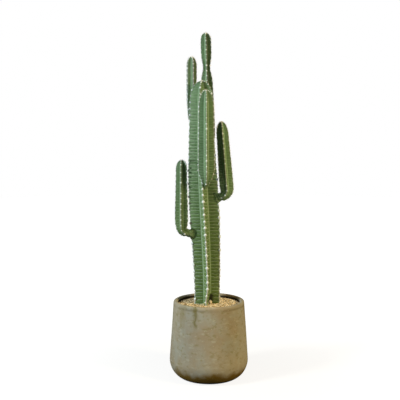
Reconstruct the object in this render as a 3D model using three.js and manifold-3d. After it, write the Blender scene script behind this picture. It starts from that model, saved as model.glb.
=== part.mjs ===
// Potted columnar cactus: a ribbed trunk with five upturned arms, in a round clay pot
// that is filled with soil and dressed with gravel.
// Units are millimetres, +Z is up. The origin is the middle of the pot's flat underside.
import * as THREE from 'three';
import { mergeVertices } from 'three/addons/utils/BufferGeometryUtils.js';
import Module from 'manifold-3d';

const wasm = await Module();
wasm.setup();

// ---- Driving dimensions: pot ------------------------------------------------------------
const POT_HEIGHT = 350;
const POT_FOOT_RADIUS = 112;      // flat underside
const POT_BELLY_RADIUS = 176.5;    // widest, low on the wall
const POT_BELLY_HEIGHT = 84;
const POT_RIM_RADIUS = 158;
const POT_WALL = 20;
const POT_FLOOR = 26;             // thickness of the bottom
const POT_RIM_ROUND = 9;          // radius of the rounded lip
const POT_CORNER_POWER = 1.2;     // how round the bottom edge is
const POT_SEGMENTS = 48;

// ---- Driving dimensions: what the pot holds ---------------------------------------------
const GAP = 0.3;                  // between pieces that touch
const SOIL_TOP = 322;             // the trunk is cut flat here
const GRAVEL_EDGE = 333;          // gravel surface against the pot wall
const GRAVEL_CROWN = 339;         // gravel surface heaped round the trunk

// ---- Driving dimensions: the ribbed stems -----------------------------------------------
const RIBS = 5;
const POINTS_PER_RIB = 4;         // crest, flank, valley, flank
const GAP_POINT = 2;              // the valley point that follows the first rib
const VALLEY = 0.43;              // valley radius as a fraction of the crest radius
const FLANK_BULGE = 0.06;         // how far a flank swells past a straight line
const RIB_CLEARANCE = 0.9;        // extra radius that leaves GAP beside the steep flanks

// ---- Driving dimensions: trunk ----------------------------------------------------------
const TRUNK = {
  tip: 1322,
  axisFoot: -9,                  // the axis leaves the soil left of the pot's middle
  axisTop: -31,                   // and leans further left as it climbs
  leanFrom: 400,
  leanTo: 1120,
  footRadius: 57,
  bellyRadius: 67.5,
  bellyHeight: 790,
  shoulderRadius: 52.5,
  shoulderHeight: 1250,
  domeHeight: 97,
  crestFoot: -86,                 // bearing of the front rib, degrees, at the soil
  crestTop: -102,                 // and at the tip, so the ribs turn slowly
  gapDepth: 0.3,                  // the valley right of the front rib is cut to this at the soil
  gapFrom: 338,                   // and is back to its usual depth here
  gapTo: 392,
  footTurn: -11,                  // how far the front rib's foot turns aside, degrees
  footTurnTo: 420,                // and the height where it has turned back
};

// ---- Driving dimensions: arms -----------------------------------------------------------
// root: height on the trunk's axis. heading: bearing from the trunk, degrees. climb: slope of
// the neck, degrees. reach: level distance from the trunk's axis to the arm's axis. bend: radius
// of the elbow. flare: radius of the swelling on the trunk. neckAt, fullAt: distances along the
// arm where it is thinnest and full. lean: how far the tip drifts along X. crest: bearing of
// one rib, degrees. valley: shallower valleys than the other stems have. The waist is a pinch
// left by a season of poor growth.
const ARMS = [
  {
    name: 'arm_front', root: 877, heading: -83, climb: 0, reach: 98, bend: 34, tip: 1279,
    flare: 24, neck: 11, neckAt: 64, fullAt: 150, girth: 36.5, top: 33,
    dome: 79, lean: -1, crest: -88,
  },
  {
    name: 'arm_right', root: 793, heading: -23, climb: 18, reach: 107, bend: 32, tip: 1145,
    flare: 27, neck: 19, neckAt: 74, fullAt: 145, girth: 31.5, top: 27,
    dome: 62, lean: -24, crest: -90,
  },
  {
    name: 'arm_left', root: 640, heading: 205, climb: 12, reach: 116, bend: 28, tip: 979,
    flare: 25.5, neck: 17, neckAt: 86, fullAt: 165, girth: 29.5, top: 25,
    dome: 40, lean: 0, crest: -97,
  },
  {
    name: 'arm_back_left', root: 1104, heading: 128, climb: 28, reach: 77, bend: 52, tip: 1431,
    flare: 20, neck: 13, neckAt: 58, fullAt: 185, girth: 23, top: 23,
    dome: 42, lean: 0, crest: -66, valley: 0.58,
  },
  {
    name: 'arm_back_tall', root: 992, heading: 72, climb: 20, reach: 88, bend: 50, tip: 1538,
    flare: 24, neck: 17, neckAt: 64, fullAt: 160, girth: 31, top: 23.5,
    dome: 36, lean: -13, crest: -90, waistHeight: 1386, waistDepth: 0.37, waistLength: 36,
  },
];
const FLARE_FROM = 30;            // distance along an arm where its swelling starts
const FLARE_AT = 60;              // and where the swelling is tallest
const SLIM_FROM = 50;             // up to here the swelling follows the trunk's thin rib
const SLIM = 0.36;                // and is only this share as wide as it is tall
const ELBOW_RINGS = 9;            // rings round the bend of an elbow
const COLUMN_RINGS = 7;           // rings up the straight part of an arm
const DOME_RINGS = 4;             // rings in the rounded top
const DOME_POWER = 2.2;           // 2 is an ellipse, more is blunter

// ---- Colours ----------------------------------------------------------------------------
const CLAY = new THREE.MeshStandardMaterial({ color: 0x938a6d, roughness: 0.9, metalness: 0 });
const SOIL = new THREE.MeshStandardMaterial({ color: 0x4a3a28, roughness: 1, metalness: 0 });
const GRAVEL = new THREE.MeshStandardMaterial({ color: 0xc6a673, roughness: 0.95, metalness: 0 });
const SKIN = new THREE.MeshStandardMaterial({ color: 0x5c7d57, roughness: 0.55, metalness: 0 });

// ---- Small helpers ----------------------------------------------------------------------
const radians = THREE.MathUtils.degToRad;
const lerp = THREE.MathUtils.lerp;

/** Smooth step from `a` at `from` to `b` at `to`. */
function ease(value, from, to, a, b) {
  return lerp(a, b, THREE.MathUtils.smoothstep(value, from, to));
}

function named(name, geometry, material) {
  const flat = geometry.index ? geometry.toNonIndexed() : geometry;
  flat.computeVertexNormals();
  const mesh = new THREE.Mesh(flat, material);
  mesh.name = name;
  return mesh;
}

/** A closed BufferGeometry as a manifold-3d solid. */
function toSolid(geometry) {
  const bare = geometry.clone();
  bare.deleteAttribute('normal');
  bare.deleteAttribute('uv');
  const merged = mergeVertices(bare, 1e-4);
  const corners = merged.index.array;
  const kept = [];
  for (let i = 0; i < corners.length; i += 3) {
    const [a, b, c] = corners.slice(i, i + 3);
    if (a !== b && b !== c && c !== a) {
      kept.push(a, b, c);
    }
  }
  return new wasm.Manifold(new wasm.Mesh({
    numProp: 3,
    vertProperties: new Float32Array(merged.attributes.position.array),
    triVerts: new Uint32Array(kept),
  }));
}

/** A manifold-3d solid back as a BufferGeometry. */
function toGeometry(solid) {
  const mesh = solid.getMesh();
  const geometry = new THREE.BufferGeometry();
  geometry.setAttribute('position', new THREE.BufferAttribute(new Float32Array(mesh.vertProperties), 3));
  geometry.setIndex(new THREE.BufferAttribute(new Uint32Array(mesh.triVerts), 1));
  return geometry;
}

// ---- Ribbed stems -----------------------------------------------------------------------
/** Radius at `offset` degrees from a crest, as a fraction of the crest radius. */
function ribShape(offset, valley) {
  const half = Math.PI / RIBS;
  const phi = radians(Math.abs(offset));
  const line = (valley * Math.sin(half)) / (Math.sin(phi) + valley * Math.sin(half - phi));
  return line * (1 + FLANK_BULGE * Math.sin((Math.PI * phi) / half));
}

/**
 * The points of one ring. `gap` deepens the valley that follows the first rib, 1 leaves it;
 * `footTurn` turns the first rib aside, in degrees.
 */
function ringPoints(ring) {
  const step = 360 / (RIBS * POINTS_PER_RIB);
  const points = [];
  for (let i = 0; i < RIBS * POINTS_PER_RIB; i += 1) {
    const offset = (i - Math.round(i / POINTS_PER_RIB) * POINTS_PER_RIB) * step;
    const shape = ribShape(offset, ring.valley);
    const radius = ring.radius * shape * (i === GAP_POINT ? ring.gap : 1);
    const fromFirst = Math.min(i, RIBS * POINTS_PER_RIB - i);
    const turn = ring.footTurn * Math.max(0, 1 - fromFirst / GAP_POINT);
    const angle = radians(ring.crest + turn + i * step);
    points.push(ring.centre.clone()
      .addScaledVector(ring.out, radius * Math.cos(angle))
      .addScaledVector(ring.side, radius * Math.sin(angle)));
  }
  return points;
}

/** A closed skin over rings, flat at the start, and flat or pointed at the end. */
function skinOver(rings, tip) {
  const positions = [];
  const faces = [];
  const add = (point) => positions.push(point.x, point.y, point.z) / 3 - 1;
  const count = RIBS * POINTS_PER_RIB;
  rings.forEach((ring) => ringPoints(ring).forEach(add));
  const first = add(rings[0].centre);
  const last = add(tip ?? rings[rings.length - 1].centre);
  for (let i = 0; i < count; i += 1) {
    const next = (i + 1) % count;
    faces.push(first, next, i);
    for (let r = 0; r + 1 < rings.length; r += 1) {
      const low = r * count;
      const high = low + count;
      faces.push(low + i, low + next, high + next);
      faces.push(low + i, high + next, high + i);
    }
    const top = (rings.length - 1) * count;
    faces.push(last, top + i, top + next);
  }
  const geometry = new THREE.BufferGeometry();
  geometry.setAttribute('position', new THREE.Float32BufferAttribute(positions, 3));
  geometry.setIndex(faces);
  return geometry;
}

/** How far the rounded top has closed in at `u` from 0, its foot, to 1, its tip. */
function domeShape(u) {
  return Math.pow(Math.max(0, 1 - Math.pow(u, DOME_POWER)), 1 / DOME_POWER);
}

/** Heights from `from` to `tip`: even up the column, closer in the dome, without the tip. */
function columnHeights(from, tip, dome, rings) {
  const heights = [];
  const shoulder = tip - dome;
  for (let i = 0; i <= rings; i += 1) {
    heights.push(lerp(from, shoulder, i / rings));
  }
  for (let i = 1; i <= DOME_RINGS; i += 1) {
    heights.push(shoulder + dome * Math.sin(((i / (DOME_RINGS + 0.6)) * Math.PI) / 2));
  }
  return heights;
}

// ---- Trunk ------------------------------------------------------------------------------
function trunkAxis(height) {
  const x = ease(height, TRUNK.leanFrom, TRUNK.leanTo, TRUNK.axisFoot, TRUNK.axisTop);
  return new THREE.Vector3(x, 0, height);
}

function trunkRadius(height) {
  if (height < TRUNK.bellyHeight) {
    return ease(height, SOIL_TOP, TRUNK.bellyHeight, TRUNK.footRadius, TRUNK.bellyRadius);
  }
  return ease(height, TRUNK.bellyHeight, TRUNK.shoulderHeight, TRUNK.bellyRadius,
    TRUNK.shoulderRadius);
}

function trunkRing(height, clearance) {
  const dome = Math.max(0, (height - TRUNK.tip + TRUNK.domeHeight) / TRUNK.domeHeight);
  return {
    centre: trunkAxis(height),
    out: new THREE.Vector3(1, 0, 0),
    side: new THREE.Vector3(0, 1, 0),
    radius: trunkRadius(height) * domeShape(dome) + clearance,
    valley: VALLEY,
    crest: THREE.MathUtils.mapLinear(height, SOIL_TOP, TRUNK.tip, TRUNK.crestFoot, TRUNK.crestTop),
    gap: ease(height, TRUNK.gapFrom, TRUNK.gapTo, TRUNK.gapDepth, 1),
    footTurn: ease(height, TRUNK.gapFrom, TRUNK.footTurnTo, TRUNK.footTurn, 0),
  };
}

/** The trunk's skin. A clearance makes the slightly larger copy that its neighbours are cut by. */
function trunkGeometry(clearance) {
  const foot = SOIL_TOP + GAP - clearance;
  const heights = [foot, TRUNK.gapFrom, (TRUNK.gapFrom + TRUNK.gapTo) / 2];
  heights.push(...columnHeights(TRUNK.gapTo, TRUNK.tip, TRUNK.domeHeight, 15));
  const rings = heights.map((height) => trunkRing(height, clearance));
  return skinOver(rings, trunkAxis(TRUNK.tip + clearance));
}

// ---- Arms -------------------------------------------------------------------------------
/** Works out one arm's path from its named sizes. */
function armPath(arm) {
  const along = new THREE.Vector3(Math.cos(radians(arm.heading)), Math.sin(radians(arm.heading)), 0);
  const up = new THREE.Vector3(0, 0, 1);
  const side = up.clone().cross(along);
  const climb = radians(arm.climb);
  const neckLength = (arm.reach - arm.bend * (1 - Math.sin(climb))) / Math.cos(climb);
  const bendLength = arm.bend * (Math.PI / 2 - climb);
  const root = trunkAxis(arm.root);
  const heel = root.clone()
    .addScaledVector(along, neckLength * Math.cos(climb))
    .addScaledVector(up, neckLength * Math.sin(climb));
  const footHeight = heel.z + arm.bend * Math.cos(climb);
  const length = neckLength + bendLength + arm.tip - footHeight;

  /** Centre and directions at `s` along the arm. */
  function at(s) {
    const slope = THREE.MathUtils.clamp(climb + (s - neckLength) / arm.bend, climb, Math.PI / 2);
    const out = along.clone().multiplyScalar(Math.sin(slope)).addScaledVector(up, -Math.cos(slope));
    const centre = root.clone();
    if (s < neckLength) {
      centre.lerpVectors(root, heel, s / neckLength);
    } else {
      centre.copy(heel)
        .addScaledVector(along, arm.bend * (Math.sin(slope) - Math.sin(climb)))
        .addScaledVector(up, arm.bend * (Math.cos(climb) - Math.cos(slope)));
      centre.z += Math.max(0, s - neckLength - bendLength);
    }
    const rise = Math.max(0, (centre.z - footHeight) / (arm.tip - footHeight));
    centre.x += arm.lean * rise;
    return { centre, out, side };
  }
  return { at, length, neckLength, bendEnd: neckLength + bendLength, footHeight };
}

function armRing(arm, path, s) {
  const place = path.at(s);
  let radius = ease(s, FLARE_FROM, FLARE_AT, arm.flare * 0.3, arm.flare);
  if (s > FLARE_AT && s < arm.neckAt) {
    radius = ease(s, FLARE_AT, arm.neckAt, arm.flare, arm.neck);
  } else if (s >= arm.neckAt && s < arm.fullAt) {
    radius = ease(s, arm.neckAt, arm.fullAt, arm.neck, arm.girth);
  } else if (s >= arm.fullAt) {
    radius = ease(s, arm.fullAt, path.length - arm.dome, arm.girth, arm.top);
  }
  if (arm.waistHeight) {
    const away = (place.centre.z - arm.waistHeight) / arm.waistLength;
    radius *= 1 - arm.waistDepth * Math.exp(-away * away);
  }
  const dome = Math.max(0, (s - path.length + arm.dome) / arm.dome);
  const width = ease(s, SLIM_FROM, arm.neckAt, SLIM, 1);
  return {
    centre: place.centre,
    out: place.out,
    side: place.side.clone().multiplyScalar(width),
    radius: radius * domeShape(dome),
    valley: ease(s, arm.neckAt * 0.8, arm.fullAt, 0.86, arm.valley ?? VALLEY),
    crest: arm.crest - arm.heading,
    gap: 1,
    footTurn: 0,
  };
}

/** The neck and bend of an arm, cut where it meets the trunk. */
function elbowGeometry(arm, path, trunkCutter) {
  const stations = [];
  for (let i = 0; i <= ELBOW_RINGS; i += 1) {
    stations.push(lerp(FLARE_FROM, path.bendEnd - GAP / 2, i / ELBOW_RINGS));
  }
  const whole = toSolid(skinOver(stations.map((s) => armRing(arm, path, s))));
  const cut = whole.subtract(trunkCutter).decompose();
  cut.sort((a, b) => b.volume() - a.volume());
  return toGeometry(cut[0]);      // slivers left in the trunk's valleys are dropped
}

/** The upright part of an arm, from its elbow to its rounded tip. */
function columnGeometry(arm, path) {
  const rings = arm.waistHeight ? COLUMN_RINGS * 2 : COLUMN_RINGS;
  const stations = columnHeights(path.bendEnd + GAP / 2, path.length, arm.dome, rings);
  return skinOver(stations.map((s) => armRing(arm, path, s)), path.at(path.length).centre);
}

// ---- Pot and its fill -------------------------------------------------------------------
function quarter(cx, cy, rx, ry, fromDeg, toDeg, steps, power = 1) {
  const points = [];
  for (let i = 0; i <= steps; i += 1) {
    const angle = radians(lerp(fromDeg, toDeg, i / steps));
    const reach = Math.sign(Math.cos(angle)) * Math.pow(Math.abs(Math.cos(angle)), power);
    points.push(new THREE.Vector2(cx + rx * reach, cy + ry * Math.sin(angle)));
  }
  return points;
}

/** Half outline of the space inside the pot, from the middle of its floor to the rim. */
function innerRadius(height) {
  const belly = POT_BELLY_RADIUS - POT_WALL - 4;
  return THREE.MathUtils.mapLinear(height, POT_BELLY_HEIGHT, POT_HEIGHT, belly,
    POT_RIM_RADIUS - POT_WALL);
}

/** A half outline turned about the vertical axis. */
function lathe(points) {
  const turned = new THREE.LatheGeometry(points, POT_SEGMENTS).rotateX(Math.PI / 2);
  return toGeometry(toSolid(turned));
}

function potGeometry() {
  const swell = POT_BELLY_RADIUS - POT_FOOT_RADIUS;
  const outer = quarter(POT_FOOT_RADIUS, POT_BELLY_HEIGHT, swell, POT_BELLY_HEIGHT, -90, 0, 6,
    POT_CORNER_POWER);
  const lipHeight = POT_HEIGHT - POT_RIM_ROUND;
  const lipInner = POT_RIM_RADIUS - POT_WALL + POT_RIM_ROUND;
  const lipOuter = POT_RIM_RADIUS - POT_RIM_ROUND;
  const lip = [
    ...quarter(lipOuter, lipHeight, POT_RIM_ROUND, POT_RIM_ROUND, 0, 90, 3),
    ...quarter(lipInner, lipHeight, POT_RIM_ROUND, POT_RIM_ROUND, 90, 180, 3),
  ];
  const corner = innerRadius(POT_BELLY_HEIGHT) - 40;
  const inner = quarter(corner, POT_BELLY_HEIGHT, 40, POT_BELLY_HEIGHT - POT_FLOOR, 0, -90, 3);
  return lathe([
    new THREE.Vector2(0, 0),
    ...outer,
    ...lip,
    ...inner,
    new THREE.Vector2(0, POT_FLOOR),
  ]);
}

function soilGeometry() {
  const corner = innerRadius(POT_BELLY_HEIGHT) - 40;
  const bowl = quarter(corner - GAP, POT_BELLY_HEIGHT, 39.2, POT_BELLY_HEIGHT - POT_FLOOR - 1, -90, 0, 3);
  return lathe([
    new THREE.Vector2(0, POT_FLOOR + 1),
    ...bowl,
    new THREE.Vector2(innerRadius(SOIL_TOP) - 0.8, SOIL_TOP),
    new THREE.Vector2(0, SOIL_TOP),
  ]);
}

/** A shallow heap of gravel with a hole of the trunk's own outline. */
function gravelGeometry(trunkCutter) {
  const foot = SOIL_TOP + GAP;
  const points = [
    new THREE.Vector2(0, foot),
    new THREE.Vector2(innerRadius(foot) - 0.8, foot),
  ];
  for (let i = 0; i <= 3; i += 1) {
    const angle = (i / 3) * (Math.PI / 2);
    const radius = (innerRadius(GRAVEL_EDGE) - 0.8) * Math.cos(angle);
    points.push(new THREE.Vector2(radius, lerp(GRAVEL_EDGE, GRAVEL_CROWN, Math.sin(angle))));
  }
  points[points.length - 1].x = 0;
  return toGeometry(toSolid(lathe(points)).subtract(trunkCutter));
}

// ---- Assembly ---------------------------------------------------------------------------
const plant = new THREE.Group();
const trunkCutter = toSolid(trunkGeometry(RIB_CLEARANCE));

plant.add(named('pot', potGeometry(), CLAY));
plant.add(named('soil', soilGeometry(), SOIL));
plant.add(named('gravel', gravelGeometry(trunkCutter), GRAVEL));
plant.add(named('trunk', trunkGeometry(0), SKIN));
ARMS.forEach((arm) => {
  const path = armPath(arm);
  plant.add(named(`${arm.name}_elbow`, elbowGeometry(arm, path, trunkCutter), SKIN));
  plant.add(named(`${arm.name}_column`, columnGeometry(arm, path), SKIN));
});

export default plant;
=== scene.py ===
# %% [markdown]
# # A potted columnar cactus
#
# The object is a living plant about a metre and a half tall: one ribbed trunk, five arms that
# turn upright, white woolly dots in rows along every rib, and a heavy round clay pot dressed
# with gravel. The sizes were settled in the CAD model. This notebook loads that model as a
# fixed frame and then gives each part the surface that the real one has.

# %% Load the frame and look at its boxes
import math
from functools import reduce

import bpy
import numpy as np
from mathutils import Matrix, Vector, noise


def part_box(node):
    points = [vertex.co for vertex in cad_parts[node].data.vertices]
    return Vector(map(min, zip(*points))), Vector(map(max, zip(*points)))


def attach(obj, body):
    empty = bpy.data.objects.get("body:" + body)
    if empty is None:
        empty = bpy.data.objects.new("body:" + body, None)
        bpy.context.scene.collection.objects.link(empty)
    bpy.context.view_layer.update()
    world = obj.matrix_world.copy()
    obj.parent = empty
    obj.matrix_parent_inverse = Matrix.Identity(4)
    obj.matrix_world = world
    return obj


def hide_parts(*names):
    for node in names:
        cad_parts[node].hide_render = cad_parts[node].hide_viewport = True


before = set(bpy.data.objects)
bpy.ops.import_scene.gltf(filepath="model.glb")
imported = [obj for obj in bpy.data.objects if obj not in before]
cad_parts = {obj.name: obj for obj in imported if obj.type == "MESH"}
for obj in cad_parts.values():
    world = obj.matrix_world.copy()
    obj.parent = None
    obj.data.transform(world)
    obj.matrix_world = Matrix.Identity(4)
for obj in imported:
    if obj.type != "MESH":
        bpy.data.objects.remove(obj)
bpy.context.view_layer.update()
pot_low, pot_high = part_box("pot")
soil_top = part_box("soil")[1].z
trunk_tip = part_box("trunk")[1].z
print("soil top", round(soil_top, 3), "trunk tip", round(trunk_tip, 3))

# %% Small node-building helpers
def feed(tree, socket, value):
    """Links a socket, or sets its value."""
    if isinstance(value, bpy.types.NodeSocket):
        tree.links.new(value, socket)
    else:
        socket.default_value = value


def add_node(tree, kind, inputs=(), **settings):
    """Makes a node, and feeds the inputs that are given by name or by number."""
    node = tree.nodes.new(kind)
    for key, value in settings.items():
        setattr(node, key, value)
    for key, value in dict(inputs).items():
        feed(tree, node.inputs[key], value)
    return node


def calc(tree, operation, *values):
    return add_node(tree, "ShaderNodeMath", enumerate(values), operation=operation).outputs[0]


def times(tree, *values):
    return reduce(lambda first, second: calc(tree, "MULTIPLY", first, second), values)


def plus(tree, *values):
    return reduce(lambda first, second: calc(tree, "ADD", first, second), values)


def minus(tree, *values):
    return reduce(lambda first, second: calc(tree, "SUBTRACT", first, second), values)


def bell(tree, value, width):
    """exp(-(value / width)^2): 1 on a line, fading over width on either side."""
    scaled = calc(tree, "DIVIDE", value, width)
    return calc(tree, "EXPONENT", times(tree, scaled, scaled, -1.0))


def ramp(tree, value, start, end, low=0.0, high=1.0):
    """Smooth step from low at start to high at end."""
    return add_node(tree, "ShaderNodeMapRange", enumerate((value, start, end, low, high)),
                    interpolation_type="SMOOTHSTEP").outputs[0]


def new_material(name, roughness, colour=(0.8, 0.8, 0.8)):
    material = bpy.data.materials.new(name)
    material.use_nodes = True
    tree = material.node_tree
    shader = tree.nodes["Principled BSDF"]
    shader.inputs["Roughness"].default_value = roughness
    shader.inputs["Base Color"].default_value = (*colour, 1)
    return material, tree, shader


def shown(name, mesh):
    """A piece with that mesh, in the scene."""
    piece = bpy.data.objects.new(name, mesh)
    bpy.context.scene.collection.objects.link(piece)
    return piece


print("node helpers ready")

# %% [markdown]
# ## Camera, light and floor
#
# A tall thin subject is best seen through a long lens from a few metres away, so that its top
# and its pot are both seen nearly level. The light is what separates the two sides of a ribbed
# stem: a large cool light on the left and a large warm one on the right make one flank of each
# rib look blue-green and the other olive, although the skin is the same.

# %% Camera
CAMERA_SIDE = -0.040          # the camera stands a little left of the pot's middle
CAMERA_BACK = 3.48
CAMERA_HEIGHT = 1.14
AIM_HEIGHT = 0.80
VIEW_WIDTH = 1.772            # metres of the scene that fill the frame at the plant
SENSOR_WIDTH = 36.0           # millimetres

camera_data = bpy.data.cameras.new("camera")
camera = bpy.data.objects.new("camera", camera_data)
bpy.context.scene.collection.objects.link(camera)
camera.location = (CAMERA_SIDE, -CAMERA_BACK, CAMERA_HEIGHT)
sight = Vector((CAMERA_SIDE, 0, AIM_HEIGHT)) - camera.location
camera.rotation_euler = sight.to_track_quat("-Z", "Y").to_euler()
camera_data.sensor_width = SENSOR_WIDTH
camera_data.lens = SENSOR_WIDTH * sight.length / VIEW_WIDTH
bpy.context.scene.camera = camera
print("lens", round(camera_data.lens, 1), "mm")

# %% Studio lights
MIDDLE = Vector((0, 0, 0.75))
LIGHT_DISTANCE = 3.5
COOL = (0.95, 1.0, 1.0)
WARM = (1.0, 0.78, 0.42)


def put_lamp(name, data, place, aim):
    lamp = shown(name, data)
    lamp.location = place
    lamp.rotation_euler = (Vector(aim) - Vector(place)).to_track_quat("-Z", "Y").to_euler()
    return lamp


def area_light(name, place, size, power, colour):
    """A round soft light that faces the plant."""
    data = bpy.data.lights.new(name, "AREA")
    data.shape = "DISK"
    data.size = size
    data.energy = power
    data.color = colour
    return put_lamp(name, data, place, MIDDLE)


def lamp_place(sideways, elevation):
    """A point at that many degrees to the right of the camera, and above the horizon."""
    a, e = math.radians(sideways), math.radians(elevation)
    return MIDDLE + LIGHT_DISTANCE * Vector(
        (math.sin(a) * math.cos(e), -math.cos(a) * math.cos(e), math.sin(e)))


cool = area_light("cool_left", lamp_place(-58, 25), 0.9, 132, COOL)
warm = area_light("warm_right", lamp_place(56, 22), 0.9, 112, WARM)
top = area_light("top", (0.0, -0.6, 3.6), 1.2, 5, (1.0, 1.0, 0.97))
bpy.context.scene.view_settings.view_transform = "Standard"
print("lamps", cool.name, warm.name, top.name)

# %% White surroundings that hardly light the plant, and a paper floor
FLOOR_RADIUS = 9.0
PAPER_NEAR, PAPER_FAR = 0.2, 1.6      # the paper's glow rises between these distances
PAPER_GLOW = (0.86, 1.0)


def by_ray(tree, usual, to_camera):
    """The camera sees the second shader, and all other rays meet the first."""
    seen = add_node(tree, "ShaderNodeLightPath").outputs["Is Camera Ray"]
    return add_node(tree, "ShaderNodeMixShader", enumerate((seen, usual, to_camera))).outputs[0]


def backdrop(tree, colour, strength):
    return add_node(tree, "ShaderNodeBackground",
                    {"Color": (*colour, 1), "Strength": strength}).outputs[0]


world = bpy.data.worlds.new("surroundings")
world.use_nodes = True
tree = world.node_tree
tree.nodes.clear()
room = by_ray(tree, backdrop(tree, (0.75, 1.0, 0.85), 0.03), backdrop(tree, (1, 1, 1), 1.0))
add_node(tree, "ShaderNodeOutputWorld", {"Surface": room})
bpy.context.scene.world = world

paper, tree, shader = new_material("floor_paper", 0.9, (0.16, 0.16, 0.15))
place = add_node(tree, "ShaderNodeTexCoord").outputs["Object"]
from_middle = add_node(tree, "ShaderNodeVectorMath", {0: place}, operation="LENGTH")
glow = add_node(tree, "ShaderNodeEmission", {"Strength": ramp(
    tree, from_middle.outputs["Value"], PAPER_NEAR, PAPER_FAR, *PAPER_GLOW)})
bright = add_node(tree, "ShaderNodeAddShader", {0: glow.outputs[0], 1: shader.outputs[0]})
tree.links.new(by_ray(tree, shader.outputs[0], bright.outputs[0]),
               tree.nodes["Material Output"].inputs["Surface"])

floor_mesh = bpy.data.meshes.new("floor")
floor_mesh.from_pydata([(FLOOR_RADIUS * math.cos(a), FLOOR_RADIUS * math.sin(a), 0)
                        for a in np.linspace(0, 2 * math.pi, 65)[:-1]], [], [list(range(64))])
floor_mesh.materials.append(paper)
shown("floor", floor_mesh)
print("floor", 2 * FLOOR_RADIUS, "m across")

# %% [markdown]
# ## The shape of a rib
#
# The stem has five wing-like ribs. A slice through it is a star with blunt points: each half of
# a rib is a small round edge, then a nearly flat flank down to the valley. Working out that
# slice once, and sweeping it along a line with a changing radius, makes the trunk and all five
# arms with one function. `valley` says how deep the star is cut; near 1 it is almost round,
# which is how the neck of an arm leaves the trunk.

# %% Half a rib, from the crest to the valley
RIBS = 5
VALLEY = 0.43
ROUND_VALLEY = 0.86
HALF_RIB = math.pi / RIBS
EDGE = 0.062                  # half thickness of the rib's edge, as a share of the radius
ROUND_EDGE = 0.34
EDGE_TURN = math.radians(72)  # how far the round edge turns before the flank begins
FLANK_BULGE = 0.028


def ease(value, start, end, low, high):
    """Smooth step from low at start to high at end."""
    t = np.clip((np.asarray(value, float) - start) / (end - start), 0, 1)
    return low + (high - low) * t * t * (3 - 2 * t)


def half_rib(valley, steps, edge_steps=4):
    """Angles from the crest, and radii, of steps + 1 points. valley is an array, one per ring."""
    valley = np.asarray(valley, float)[:, None]
    roundness = np.clip((valley - VALLEY) / (ROUND_VALLEY - VALLEY), 0, 1)
    edge = EDGE + (ROUND_EDGE - EDGE) * roundness
    turn = np.linspace(0, EDGE_TURN, edge_steps + 1)[None, :]
    edge_x = 1 - edge + edge * np.cos(turn)
    edge_y = edge * np.sin(turn)
    u = np.linspace(0, 1, steps - edge_steps + 1)[None, 1:]
    end_x = valley * math.cos(HALF_RIB)
    end_y = valley * math.sin(HALF_RIB)
    flank_x = edge_x[:, -1:] + (end_x - edge_x[:, -1:]) * u
    flank_y = edge_y[:, -1:] + (end_y - edge_y[:, -1:]) * u + FLANK_BULGE * np.sin(np.pi * u)
    x = np.hstack([edge_x, flank_x])
    y = np.hstack([edge_y, flank_y])
    return np.arctan2(y, x), np.hypot(x, y)


demo_angles, demo_radii = half_rib([VALLEY], 12)
print("half rib spans", round(math.degrees(demo_angles[0, -1]), 1), "degrees")

# %% [markdown]
# A stem is then a grid of points: one ring for each station along its line, with a column of
# points on every crest. Some numbers are kept on each point, because both the relief and the
# colours need them: `flank` runs from 0 on the crest to 1 in the valley, `to_areole` and
# `to_middle` are the distances along the rib to the nearest woolly dot and to the middle between
# two, `swell` is 0 at a dot and 1 half way to the next, and `along` is the distance from the tip,
# where the plant grows and the dots crowd.

# %% Places of the areoles along one rib
TIP_PITCH = 0.32              # spacing at the tip, as a share of the full spacing
CROWDED_LENGTH = 0.07
PITCH_SPREAD = 0.10
OLD_STRETCH = 0.14            # how much wider apart they are on old growth
OLD_GROWTH = (0.25, 0.90)     # distances from the tip between which that sets in
OLD_WOOL = 1.48               # how much larger their wool is on old growth
OLD_WOOL_FROM = (0.25, 0.60)
AREOLE_REACH = 0.006          # how far above and below a dot its rib's direction is taken


def areole_distances(length, pitch, dice):
    """Distances from the tip of the areoles on one rib."""
    places = []
    here = pitch * TIP_PITCH * dice.uniform(0.4, 1.0)
    while here < length:
        places.append(here)
        step = ease(here, 0, CROWDED_LENGTH, TIP_PITCH, 1.0)
        step = step * ease(here, *OLD_GROWTH, 1, 1 + OLD_STRETCH)
        here += pitch * float(step) * (1 + dice.uniform(-PITCH_SPREAD, PITCH_SPREAD))
    return np.array(places)


def rib_marks(distance, places):
    """Signed distances to the nearest areole and middle, and the swell between two areoles."""
    after = np.clip(np.searchsorted(places, distance), 1, len(places) - 1)
    low = places[after - 1]
    high = places[after]
    share = np.clip((distance - low) / (high - low), 0, 1)
    signed = np.where(share < 0.5, distance - low, distance - high)
    return signed, (share - 0.5) * (high - low), np.sin(np.pi * share) ** 2


print("areoles on a 0.3 m rib:", len(areole_distances(0.3, 0.023, np.random.default_rng(1))))

# %% A mesh from a grid of rings
def add_floats(mesh, name, values):
    layer = mesh.attributes.new(name, "FLOAT", "POINT")
    layer.data.foreach_set("value", np.ascontiguousarray(values, dtype=np.float32).ravel())


def add_vectors(mesh, name, values):
    layer = mesh.attributes.new(name, "FLOAT_VECTOR", "POINT")
    layer.data.foreach_set("vector", np.ascontiguousarray(values, dtype=np.float32).ravel())


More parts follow.
